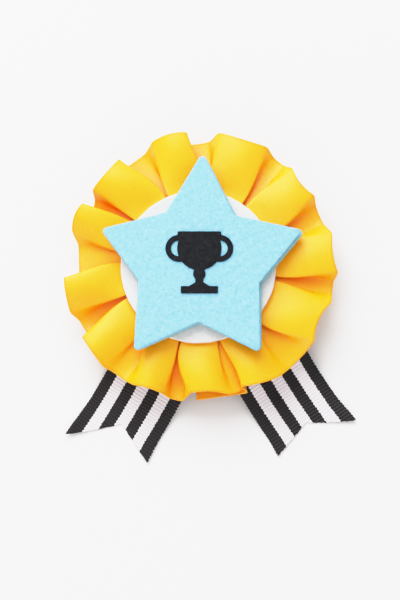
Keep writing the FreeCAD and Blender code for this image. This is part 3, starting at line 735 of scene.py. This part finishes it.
# Room between a felt layer and the ones above and below it.
FELT_GAP = 0.02
# Step along an outline, and the steps of a rounded corner or edge.
OUTLINE_STEP = 0.3
ROUND_STEP = 0.35
CORNER_POINTS = 9
EDGE_POINTS = 5
# Loops of points on each face, from near the middle, and how uneven the edge and the face are.
FACE_LOOPS = 36
INNERMOST = 0.02
EDGE_UNEVENNESS = 0.05
FACE_UNEVENNESS = 0.06
FACE_LIMIT = 0.04
# Half the width of a loose fibre at its root.
FIBRE_WIDTH = 0.016
# The star's cut is a little uneven: (angle, radius) of its tips and of the notches after them.
STAR_TIPS = [(88.8, 34.8), (161.2, 32.2), (233.9, 34.0), (303.1, 33.1), (378.0, 32.8)]
STAR_NOTCHES = [(123.9, 18.8), (196.8, 19.5), (268.7, 18.4), (340.0, 19.0), (414.4, 18.0)]
STAR_SHIFT = np.array([0.6, 0.3])
# The lower star has slipped, and its tips are shorter by the trim.
STAR_SLIP = np.array([0.7, 0.1])
LOWER_TRIM = (0.5, 0.4, 0.7, 0.6, -0.4)
TIP_ROUNDING = 1.2
NOTCH_ROUNDING = 0.4


def rounded_outline(corners, roundings):
    """Closed outline through the corners, each rounded by its own radius."""
    points = []
    count = len(corners)
    for k in range(count):
        corner = corners[k]
        back = corners[k - 1] - corner
        ahead = corners[(k + 1) % count] - corner
        back, ahead = back / np.linalg.norm(back), ahead / np.linalg.norm(ahead)
        half = math.acos(np.clip(back @ ahead, -1, 1)) / 2
        middle = (back + ahead) / np.linalg.norm(back + ahead)
        centre = corner + middle * roundings[k] / math.sin(half)
        start = corner + back * roundings[k] / math.tan(half)
        end = corner + ahead * roundings[k] / math.tan(half)
        first = start - centre
        turn = math.pi - 2 * half
        if first[0] * (end - centre)[1] - first[1] * (end - centre)[0] < 0:
            turn = -turn
        for angle in np.linspace(0, turn, CORNER_POINTS):
            cos, sin = math.cos(angle), math.sin(angle)
            points.append(centre + np.array([[cos, -sin], [sin, cos]]) @ first)
    closed = np.array(points + points[:1])
    return resampled(np.column_stack([closed, np.zeros(len(closed))]), OUTLINE_STEP)[:-1, :2]


def star_outline(slip=0.0, trim=(0, 0, 0, 0, 0)):
    """Outline of one star layer about the rosette's centre, its tips shorter by the trim."""
    corners, roundings = [], []
    for (angle, radius), notch, less in zip(STAR_TIPS, STAR_NOTCHES, trim):
        corners += [polar(angle, radius - less), polar(*notch)]
        roundings += [TIP_ROUNDING, NOTCH_ROUNDING]
    outline = rounded_outline(np.array(corners), roundings)
    return outline + STAR_SHIFT + slip


def round_outline(radius):
    """Circle about the rosette's centre."""
    count = int(2 * math.pi * radius / ROUND_STEP)
    return polar(np.arange(count) * 360 / count, np.full(count, radius))


def felt_slab(name, outline, bottom, top, material):
    """Felt cut to an outline about its middle, with soft edges and a slightly uneven face."""
    middle = outline.mean(axis=0)
    unevenness = waves(outline, (2.3, 5.0), EDGE_UNEVENNESS)
    outline = outline + unevenness[:, None] * unit(outline - middle)
    edge_normal = outline_normal(outline)
    inset = outline - edge_normal * FELT_ROUNDING
    loops = []
    for share in np.linspace(INNERMOST, 1, FACE_LOOPS)[:-1]:
        loops.append((middle + (inset - middle) * share, 0.0))
    for turn in np.linspace(0, math.pi / 2, EDGE_POINTS):
        inward = FELT_ROUNDING * (1 - math.sin(turn))
        loops.append((outline - edge_normal * inward, FELT_ROUNDING * (1 - math.cos(turn))))
    loops = ([(xy, top - depth) for xy, depth in loops]
             + [(xy, bottom + depth) for xy, depth in loops[::-1]])
    count = len(outline)
    points = np.array([np.column_stack([xy, np.full(count, z)]) for xy, z in loops])
    upper = points[..., 2] > (bottom + top) / 2
    soft = waves(points[..., :2], (3.0, 7.0, 15.0), FACE_UNEVENNESS)
    points[..., 2] += np.where(upper, np.minimum(soft, FACE_LIMIT), np.maximum(soft * 0.3, 0.0))
    index = np.arange(len(loops) * count).reshape(len(loops), count)
    faces = []
    for here, there in zip(index, index[1:]):
        after_here, after_there = np.roll(here, -1), np.roll(there, -1)
        faces += list(zip(here, there, after_there, after_here))
    faces.append(tuple(index[0]))
    faces.append(tuple(index[-1][::-1]))
    vertices = points.reshape(-1, 3)
    vertices[:, :2] += ROSETTE[:2]
    return new_object(name, vertices, faces, material)


def outline_normal(outline):
    """Outward directions along a closed counterclockwise outline."""
    tangent = unit(np.roll(outline, -1, axis=0) - np.roll(outline, 1, axis=0))
    return np.column_stack([tangent[:, 1], -tangent[:, 0]])


def edge_fibres(name, outline, bottom, top, material, count, length):
    """Loose fibres that stand out of a felt edge, each a thin bent strip."""
    normal = outline_normal(outline)
    picks = RNG.integers(0, len(outline), count)
    heights = RNG.uniform(bottom + 0.1, top, count)
    vertices, faces = [], []
    for pick, height in zip(picks, heights):
        start = np.append(outline[pick] - normal[pick] * 0.15, height)
        out = np.append(normal[pick], 0)
        along = np.array([-normal[pick][1], normal[pick][0], 0])
        way = unit(out + along * RNG.normal(0, 0.9) + np.array([0, 0, RNG.normal(0.1, 0.4)]))
        bend = unit(np.cross(way, RNG.normal(size=3)))
        reach = length * RNG.uniform(0.4, 1.0)
        side = unit(np.cross(way, bend)) * FIBRE_WIDTH
        base = len(vertices)
        for share in (0, 0.35, 0.7, 1.0):
            point = start + way * reach * share + bend * reach * 0.45 * share**2
            point[2] = max(point[2], bottom - 0.1)
            vertices += [point - side * (1.15 - share), point + side * (1.15 - share)]
        for step in range(3):
            here = base + 2 * step
            faces.append((here, here + 1, here + 3, here + 2))
    vertices = np.array(vertices)
    vertices[:, :2] += ROSETTE[:2]
    return new_object(name, vertices, faces, material)


def make_felt(name, node, outline, material, fibres, reach=0.55):
    """A felt piece in the place of a CAD node, with its loose edge fibres."""
    low, high = node_box(node)
    slab = felt_slab(name, outline, low[2] + FELT_GAP, high[2] - FELT_GAP, material)
    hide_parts(node)
    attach(slab, "rosette")
    loose = edge_fibres(name + "_fibres", outline, low[2], high[2], material, fibres, reach)
    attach(loose, "rosette")


# The cup is rebuilt from small cubes of CUBE_SIZE, which rounds its corners.
CUBE_SIZE = 0.14


def make_emblem(material):
    """Trophy cup cut from flocked felt: the CAD cup with softened corners and a velvety face."""
    source = frame["nodes"]["emblem"]
    copy = bpy.data.objects.new("cup_copy", source.data.copy())
    bpy.context.scene.collection.objects.link(copy)
    remesh = copy.modifiers.new("remesh", "REMESH")
    remesh.mode = "VOXEL"
    remesh.voxel_size = CUBE_SIZE * MM
    soften = copy.modifiers.new("soften", "SMOOTH")
    soften.factor = 0.6
    soften.iterations = 6
    bpy.context.view_layer.update()
    ready = copy.evaluated_get(bpy.context.evaluated_depsgraph_get())
    mesh = bpy.data.meshes.new_from_object(ready)
    bpy.data.objects.remove(copy)
    mesh.materials.clear()
    mesh.materials.append(material)
    mesh.polygons.foreach_set("use_smooth", [True] * len(mesh.polygons))
    emblem = bpy.data.objects.new("cup_emblem", mesh)
    bpy.context.scene.collection.objects.link(emblem)
    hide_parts("emblem")
    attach(emblem, "rosette")


# Thread ---------------------------------------------------------------------------------------

THREAD_RADIUS = 0.2
# The gathering thread's waves round the ruffle, half a wave's height, and its points.
GATHER_STITCHES = 44
GATHER_SWING = 0.5
GATHER_POINTS = 721
# Threads through each of the bar's holes lean out to the bar's edges by these amounts.
BAR_HOLES = 3
HOLE_INSET = 0.45
BAR_LEANS = (-0.35, 0.35)
BEND_ROUNDING = 0.15
# Stitches across the joint of the ruffle's ends: their number, spacing, half length and sag.
SEAM_STITCHES = 5
SEAM_PITCH = 0.96
SEAM_HALF = 1.2
SEAM_SAG = 0.15


def make_thread(name, node, plies, material):
    """A thread piece in the place of a CAD node."""
    vertices, faces = plies
    thread = new_object(name, vertices, faces, material)
    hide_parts(node)
    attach(thread, "rosette")


def gathering_path():
    """Running stitch round the ruffle's gathered edge."""
    low, high = node_box("gathering_thread")
    middle = (low + high) / 2
    radius = (high[0] - low[0]) / 2 - THREAD_RADIUS
    turn = np.linspace(0, 2 * math.pi, GATHER_POINTS)
    x, y = middle[0] + radius * np.cos(turn), middle[1] + radius * np.sin(turn)
    return np.column_stack([x, y, middle[2] + GATHER_SWING * np.sin(GATHER_STITCHES * turn)])


def bar_stitch_paths():
    """Staples from each sewing hole over the bar's edges, as the frame has them."""
    low, high = node_box("bar_stitches")
    middle = (low + high) / 2
    pitch = (high[0] - low[0] - 2 * THREAD_RADIUS) / (BAR_HOLES - 1)
    under = low[2] + THREAD_RADIUS
    turned = under + BEND_ROUNDING
    paths = []
    for number in range(BAR_HOLES):
        x = middle[0] + (number - (BAR_HOLES - 1) / 2) * pitch
        for side in (-1, 1):
            inner_y = middle[1] + side * HOLE_INSET
            outer_y = middle[1] + side * ((high[1] - low[1]) / 2 - THREAD_RADIUS)
            for lean in BAR_LEANS:
                paths.append([
                    (x + lean * 0.3, inner_y, high[2]), (x + lean * 0.3, inner_y, turned),
                    (x + lean * 0.5, inner_y + side * BEND_ROUNDING, under),
                    (x + lean, outer_y - side * BEND_ROUNDING, under),
                    (x + lean, outer_y, turned), (x + lean, outer_y, high[2]),
                ])
    return paths


def seam_stitch_paths():
    """Short bars of thread across the joint of the ruffle's two ends."""
    low, high = node_box("ruffle_seam_stitches")
    middle = (low + high) / 2
    ray = unit(middle[:2] - RUFFLE_CENTRE[:2])
    along = np.array([-ray[1], ray[0]])
    sunk = middle[2] - SEAM_SAG
    paths = []
    for number in range(SEAM_STITCHES):
        centre = middle[:2] + ray * (number - (SEAM_STITCHES - 1) / 2) * SEAM_PITCH
        start, end = centre - along * SEAM_HALF, centre + along * SEAM_HALF
        paths.append([(*start, sunk), (*centre, middle[2]), (*end, sunk)])
    return paths


# Making ---------------------------------------------------------------------------------------

make_ruffle()
grosgrain = grosgrain_material()
for tail_side in ("left", "right"):
    make_tail(tail_side, grosgrain)

white_felt = felt_material("white_felt", (0.66, 0.645, 0.64), (0.74, 0.725, 0.72), 0.05)
blue_felt = felt_material("blue_felt", (0.20, 0.45, 0.61), (0.325, 0.605, 0.845), 0.06)
pale_blue_felt = felt_material("pale_blue_felt", (0.25, 0.47, 0.52), (0.34, 0.56, 0.62), 0.06)
black_felt = felt_material("black_felt", (0.010, 0.011, 0.013), (0.027, 0.029, 0.033), 0.12)
make_felt("felt_disc", "front_disc", round_outline(node_radius("front_disc")),
          white_felt, 900, reach=0.35)
make_felt("felt_backing", "backing_disc", round_outline(node_radius("backing_disc")),
          white_felt, 900)
make_felt("felt_star_lower", "star_lower_layer", star_outline(STAR_SLIP, LOWER_TRIM),
          pale_blue_felt, 2600)
make_felt("felt_star_upper", "star_upper_layer", star_outline(), blue_felt, 3200)
make_emblem(black_felt)

white_thread = thread_material("white_thread", (0.86, 0.86, 0.84))
yellow_thread = thread_material("yellow_thread", (0.90, 0.56, 0.03))
make_thread("gathering_stitches", "gathering_thread",
            twisted_thread(gathering_path(), THREAD_RADIUS, closed=True), yellow_thread)
make_thread("seam_thread", "ruffle_seam_stitches",
            joined([twisted_thread(path, THREAD_RADIUS) for path in seam_stitch_paths()]),
            yellow_thread)
make_thread("bar_thread", "bar_stitches",
            joined([twisted_thread(path, THREAD_RADIUS * 0.85) for path in bar_stitch_paths()]),
            white_thread)

steel = steel_material()
kept = {"pin_bar": steel, "hinge_rivet": steel, "pin_stem": steel, "catch_sleeve": steel,
        "stiffener_card": card_material()}
for node, material in kept.items():
    frame["nodes"][node].data.materials.clear()
    frame["nodes"][node].data.materials.append(material)

# Floor, light and camera ----------------------------------------------------------------------

scene = bpy.context.scene
scene.view_settings.view_transform = "Standard"
# Highlights roll off softly, as in a bright studio photograph: (scene light, picture light).
SHOULDER = [(0.0, 0.0), (0.05, 0.035), (0.3, 0.29), (0.6, 0.62), (0.85, 0.81), (1.1, 0.89),
            (1.5, 0.94), (2.2, 1.0)]
scene.view_settings.use_curve_mapping = True
mapping = scene.view_settings.curve_mapping
mapping.white_level = (SHOULDER[-1][0],) * 3
ALL_CHANNELS = 3
curve = mapping.curves[ALL_CHANNELS].points
while len(curve) < len(SHOULDER):
    curve.new(0.5, 0.5)
for point, (light_in, light_out) in zip(curve, SHOULDER):
    point.location = (light_in / SHOULDER[-1][0], light_out)
mapping.update()

FLOOR_HALF = 2000
floor_corners = [(-1, -1), (1, -1), (1, 1), (-1, 1)]
floor = new_object("floor", [(FLOOR_HALF * x, FLOOR_HALF * y, 0) for x, y in floor_corners],
                   [(0, 1, 2, 3)], paper_material())

# The studio is bright overhead and dimmer towards the horizon.
HORIZON_LIGHT = 0.60
world = bpy.data.worlds.new("studio")
world.use_nodes = True
sky = world.node_tree.nodes["Background"]
sky.inputs[0].default_value = (1.0, 1.0, 1.0, 1)
way = world.node_tree.nodes.new("ShaderNodeTexCoord")
height = world.node_tree.nodes.new("ShaderNodeSeparateXYZ")
glow = world.node_tree.nodes.new("ShaderNodeMapRange")
world.node_tree.links.new(way.outputs["Generated"], height.inputs[0])
world.node_tree.links.new(height.outputs[2], glow.inputs["Value"])
glow.inputs["To Min"].default_value = HORIZON_LIGHT
world.node_tree.links.new(glow.outputs[0], sky.inputs[1])
scene.world = world


def area_light(name, place, side, power, colour=(1, 1, 1)):
    """Square soft light that faces the rosette; place in millimetres."""
    light = bpy.data.lights.new(name, "AREA")
    light.shape = "SQUARE"
    light.size = side * MM
    light.energy = power
    light.color = colour
    obj = bpy.data.objects.new(name, light)
    scene.collection.objects.link(obj)
    obj.location = np.array(place) * MM
    away = np.array(place, dtype=float)
    yaw = math.atan2(away[1], away[0]) + math.pi / 2
    obj.rotation_euler = (math.acos(away[2] / np.linalg.norm(away)), 0, yaw)


area_light("window", (-260, 620, 640), 800, 12.0)
area_light("warm_reflector", (-200, -700, 260), 500, 2.4, (1.0, 0.90, 0.82))

CAMERA_ELEVATION = 79.0
CAMERA_DISTANCE = 440.0
# The camera looks at a point between the rosette's centre and the tails.
AIM_SHIFT = (0.5, -8.9)
AIM_HEIGHT = 5.0
AIM = np.array([ROSETTE[0] + AIM_SHIFT[0], ROSETTE[1] + AIM_SHIFT[1], AIM_HEIGHT])
camera_data = bpy.data.cameras.new("camera")
camera_data.lens = 85
camera_data.sensor_width = 36
camera_data.clip_start = 0.01
camera = bpy.data.objects.new("camera", camera_data)
scene.collection.objects.link(camera)
tilt = math.radians(90 - CAMERA_ELEVATION)
camera.location = (AIM + CAMERA_DISTANCE * np.array([0, -math.sin(tilt), math.cos(tilt)])) * MM
camera.rotation_euler = (tilt, 0, 0)
scene.camera = camera
